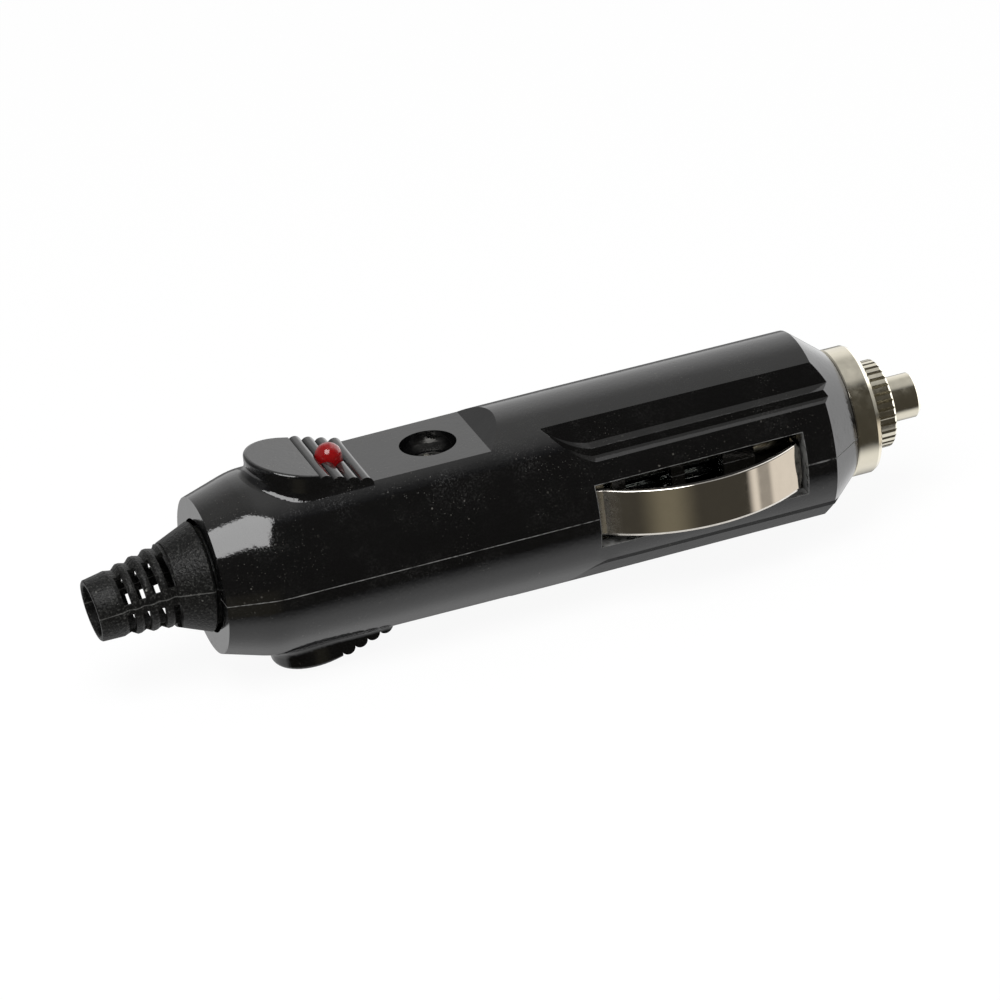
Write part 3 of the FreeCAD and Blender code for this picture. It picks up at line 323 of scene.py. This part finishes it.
def black_rubber():
    """Moulded rubber with a fine spark grain and its own seam along the ribs."""
    material, tree, shader, where = new_material("grained_black_rubber")
    grain = noise(tree, where, 3000.0, 2.0, 0.6)
    bump = add_node(tree, "ShaderNodeBump", Strength=1.0, Distance=0.0001, Height=grain)
    tree.links.new(bump.outputs["Normal"], shader.inputs["Normal"])
    dust = use_group(tree, DUST, {"Vector": where, "Speck amount": 0.2, "Film amount": 0.6})
    wobble = maths(tree, "MULTIPLY", noise(tree, where, 1200.0, 3.0), 0.00012)
    off_seam = maths(tree, "ADD", off_boot_seam(tree, where), wobble)
    seam = ramp(tree, off_seam, 0.00008, 0.00014, 1.0, 0.0)
    pale_grains = ramp(tree, noise(tree, where, 4200.0, 1.0), 0.5, 0.75)
    tone = maths(tree, "MAXIMUM", dust["Film"], pale_grains)
    colour = mix_colour(tree, tone, RUBBER_DARK, RUBBER_PALE)
    colour = mix_colour(tree, maths(tree, "MULTIPLY", dust["Specks"], 0.3), colour, RUBBER_DUST)
    colour = mix_colour(tree, maths(tree, "MULTIPLY", seam, 0.12), colour, RUBBER_SEAM)
    tree.links.new(colour, shader.inputs["Base Color"])
    shader.inputs["Roughness"].default_value = 0.42
    shader.inputs["Specular IOR Level"].default_value = 0.16
    return material


def uneven_colour(tree, colour, unevenness, darkest):
    """The colour, down to the share darkest of it where unevenness is low."""
    dark = tuple(darkest * channel for channel in colour) + (1,)
    return mix_colour(tree, unevenness, dark, tuple(colour) + (1,))


def plain_metal(name, colour, roughness, variation):
    """Plated or drawn metal of uneven roughness."""
    material, tree, shader, where = new_material(name)
    shader.inputs["Metallic"].default_value = 1.0
    uneven = noise(tree, where, 900.0, 4.0, 0.6)
    tree.links.new(uneven_colour(tree, colour, uneven, 0.88), shader.inputs["Base Color"])
    smoothest = max(roughness - variation, 0.02)
    rough = ramp(tree, uneven, 0.3, 0.7, smoothest, roughness + variation)
    tree.links.new(rough, shader.inputs["Roughness"])
    return material


def spring_strip():
    """Bright plated strip of the side contacts, with rolled edges and a rougher tail end."""
    material = plain_metal("plated_spring_strip", (0.74, 0.70, 0.64), 0.06, 0.03)
    tree = material.node_tree
    shader = tree.nodes["Principled BSDF"]
    place = add_node(tree, "ShaderNodeTexCoord").outputs
    where = place["Object"]
    edges = use_group(tree, ROLLED_EDGES, {"Vector": where, "Facing": place["Normal"]})
    tree.links.new(edges["Normal"], shader.inputs["Normal"])
    near_tail = ramp(tree, parts_of(tree, where)[0], STRIP_TAIL + 0.003, STRIP_TAIL)
    worn = maths(tree, "MULTIPLY", near_tail, noise(tree, where, 5000.0, 3.0, 0.7))
    rough = shader.inputs["Roughness"].links[0].from_socket
    rough = maths(tree, "MULTIPLY_ADD", worn, 0.5, rough)
    tree.links.new(rough, shader.inputs["Roughness"])
    return material


def clear_material(name, colour, roughness, transmission):
    """Epoxy or glass that lets light through."""
    material, tree, shader, where = new_material(name)
    shader.inputs["Base Color"].default_value = colour
    shader.inputs["Roughness"].default_value = roughness
    shader.inputs["Transmission Weight"].default_value = transmission
    shader.inputs["IOR"].default_value = 1.5
    return material


def plain_finish(name, colour, roughness):
    """Coating or insulation of one slightly uneven colour."""
    material, tree, shader, where = new_material(name)
    uneven = noise(tree, where, 1500.0, 3.0)
    tree.links.new(uneven_colour(tree, colour, uneven, 0.8), shader.inputs["Base Color"])
    shader.inputs["Roughness"].default_value = roughness
    return material


# The finish for each material of the CAD frame

FINISHES = {
    "gloss_black_plastic": gloss_black_plastic(),
    "black_rubber": black_rubber(),
    "nickel": plain_metal("bright_nickel", (0.80, 0.75, 0.62), 0.17, 0.05),
    "spring_steel": spring_strip(),
    "steel": plain_metal("zinc_plated_steel", (0.62, 0.61, 0.58), 0.3, 0.1),
    "brass": plain_metal("stamped_brass", (0.72, 0.58, 0.32), 0.3, 0.1),
    "tinned_wire": plain_metal("tinned_copper", (0.68, 0.67, 0.64), 0.25, 0.1),
    "black_insulation": plain_finish("wire_insulation", (0.03, 0.03, 0.03), 0.45),
    "red_lens": clear_material("red_epoxy", RED_EPOXY, 0.08, 0.55),
    "glass": clear_material("fuse_tube_glass", TUBE_GLASS, 0.02, 1.0),
    "resistor_body": plain_finish("resistor_coating", (0.72, 0.62, 0.45), 0.4),
}

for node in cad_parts.values():
    for slot in node.material_slots:
        slot.material = FINISHES[slot.material.name.split(".")[0]]


# Floor, light and camera

def white_floor():
    """Pale floor under the lowest point. It is white to the camera and keeps a faint shadow."""
    half, shadow_share = 3.0, 0.07
    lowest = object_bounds()[0].z
    corners = [(x * half, y * half, lowest) for x, y in ((-1, -1), (1, -1), (1, 1), (-1, 1))]
    mesh = bpy.data.meshes.new("floor")
    mesh.from_pydata(corners, [], [(0, 1, 2, 3)])
    floor = bpy.data.objects.new("floor", mesh)
    bpy.context.scene.collection.objects.link(floor)
    material = bpy.data.materials.new("pale_floor")
    material.use_nodes = True
    tree = material.node_tree
    tree.nodes.clear()
    path = add_node(tree, "ShaderNodeLightPath").outputs
    paint = add_node(tree, "ShaderNodeBsdfDiffuse", Color=FLOOR_PAINT).outputs[0]
    glow = add_node(tree, "ShaderNodeEmission", Color=WHITE, Strength=1.0).outputs[0]
    clear = add_node(tree, "ShaderNodeBsdfTransparent").outputs[0]
    seen = maths(tree, "MAXIMUM", path["Is Camera Ray"], path["Is Transmission Ray"])
    shown = mix_shaders(tree, 1 - shadow_share, paint, glow)
    lit = mix_shaders(tree, seen, paint, shown)
    surface = mix_shaders(tree, path["Is Glossy Ray"], lit, clear)
    add_node(tree, "ShaderNodeOutputMaterial", Surface=surface)
    mesh.materials.append(material)


def white_surroundings(tree, x, y, z):
    """How white the studio is in a direction: a bright sky behind and above, a white table with the
    plug's shadow painted on it towards the back, and a bright card at the right."""
    sky = product(
        tree,
        ramp(tree, y, -0.5, -0.12),
        ramp(tree, z, -0.15, 0.0),
        ramp(tree, x, -0.25, 0.1, 0.44, 1.0),
        ramp(tree, y, 0.5, 0.85, 0.52, 1.0),
    )
    off_side = maths(
        tree, "MULTIPLY", ramp(tree, x, -0.25, 0.2, 0.2, 1.0), ramp(tree, x, 0.25, 0.5, 1.0, 0.2)
    )
    # Painted shadow: the plug's own shadow on the table, seen in reflections, darker towards the
    # back.
    painted_table_shadow = product(tree, ramp(tree, y, 0.1, 0.85, 0.0, 0.78), off_side)
    below = ramp(tree, z, -0.62, -0.92, 0.0, 1.0)
    far_below = maths(tree, "MULTIPLY", ramp(tree, y, 0.0, 0.3), ramp(tree, z, 0.0, -0.15))
    under = maths(tree, "MAXIMUM", below, far_below)
    table = product(tree, under, maths(tree, "MULTIPLY_ADD", painted_table_shadow, -0.95, 0.95))
    glare = maths(
        tree, "ADD",
        ramp(tree, x, 0.25, 0.62, 0.75, 1.75), ramp(tree, x, 0.7, 1.0, 0.0, 0.65, smooth=False),
    )
    card = product(
        tree, glare,
        ramp(tree, x, 0.28, 0.42), ramp(tree, y, -0.05, 0.08), ramp(tree, z, -0.7, -0.2, 0.7, 1.0),
    )
    return maths(tree, "MAXIMUM", maths(tree, "MAXIMUM", sky, table), card)


def room_in_front(tree, x, y, z):
    """Brown room in front. Low down it has an olive wall on the left, and on the right two cream
    panels with a gap between them."""
    wall = product(tree, ramp(tree, x, -0.6, -0.3), ramp(tree, x, -0.25, 0.1, 1.0, 0.0))
    low_room = mix_colour(tree, wall, ROOM_BROWN, WALL_OLIVE)
    off_gap = maths(tree, "ABSOLUTE", maths(tree, "SUBTRACT", x, 0.74))
    panels = product(tree, ramp(tree, x, 0.58, 0.66), ramp(tree, off_gap, 0.03, 0.07, 0.4, 1.0))
    low_room = mix_colour(tree, panels, low_room, PANEL_CREAM)
    low_front = maths(tree, "MULTIPLY", ramp(tree, z, -0.12, -0.34), ramp(tree, y, 0.1, -0.05))
    return mix_colour(tree, low_front, ROOM_BROWN, low_room)


def studio_world():
    """The studio round the plug: white to the camera, a plain grey fill for the light, and for
    reflections the white surroundings and the room in front."""
    world = bpy.data.worlds.new("studio")
    bpy.context.scene.world = world
    world.use_nodes = True
    tree = world.node_tree
    tree.nodes.clear()
    path = add_node(tree, "ShaderNodeLightPath").outputs
    x, y, z = parts_of(tree, add_node(tree, "ShaderNodeTexCoord").outputs["Generated"])
    level = white_surroundings(tree, x, y, z)
    white = add_node(tree, "ShaderNodeCombineColor", _0=level, _1=level, _2=level).outputs[0]
    mirrored = mix_colour(tree, 1.0, room_in_front(tree, x, y, z), white, blend_type="LIGHTEN")
    colour = mix_colour(tree, path["Is Glossy Ray"], FILL_GREY, mirrored)
    direct = maths(tree, "MAXIMUM", path["Is Camera Ray"], path["Is Transmission Ray"])
    colour = mix_colour(tree, direct, colour, WHITE)
    shade = add_node(tree, "ShaderNodeBackground", Color=colour, Strength=1.0).outputs[0]
    add_node(tree, "ShaderNodeOutputWorld", Surface=shade)


def soft_box(name, direction, distance, width, height, radiance):
    """A rectangular soft box that looks at the plug. Its power follows from its radiance."""
    light = bpy.data.lights.new(name, "AREA")
    light.shape = "RECTANGLE"
    light.size, light.size_y = width, height
    light.energy = radiance * math.pi * width * height
    item = bpy.data.objects.new(name, light)
    way = Vector(direction).normalized()
    item.location = way * distance
    item.rotation_mode = "QUATERNION"
    item.rotation_quaternion = (-way).to_track_quat("-Z", "Y")
    bpy.context.scene.collection.objects.link(item)


def photo_camera():
    """Camera fitted to the photograph: where it looks from, its tilt and its long lens."""
    azimuth, elevation, roll = (math.radians(a) for a in (-16.375, 26.087, -6.993))
    distance, aim, shift_up = 0.8, Vector((-0.0003, 0, 0)), 0.000058
    focal_px, frame_px = 7417.66, 1000
    back = Vector((
        math.sin(azimuth) * math.cos(elevation),
        -math.cos(azimuth) * math.cos(elevation),
        math.sin(elevation),
    ))
    across = Vector((math.cos(azimuth), math.sin(azimuth), 0))
    up = back.cross(across)
    right = math.cos(roll) * across + math.sin(roll) * up
    above = -math.sin(roll) * across + math.cos(roll) * up
    data = bpy.data.cameras.new("photo_camera")
    data.sensor_width = 36.0
    data.lens = data.sensor_width * focal_px / frame_px
    data.clip_start, data.clip_end = 0.05, 10
    item = bpy.data.objects.new("photo_camera", data)
    place = Matrix.Translation(aim + back * distance - above * shift_up)
    item.matrix_world = place @ Matrix((right, above, back)).transposed().to_4x4()
    bpy.context.scene.collection.objects.link(item)
    bpy.context.scene.camera = item


white_floor()
studio_world()
soft_box("key_soft_box", (-0.17, -0.29, 0.59), 0.68, 0.42, 0.46, 8.0)
photo_camera()
bpy.context.scene.view_settings.view_transform = "Standard"
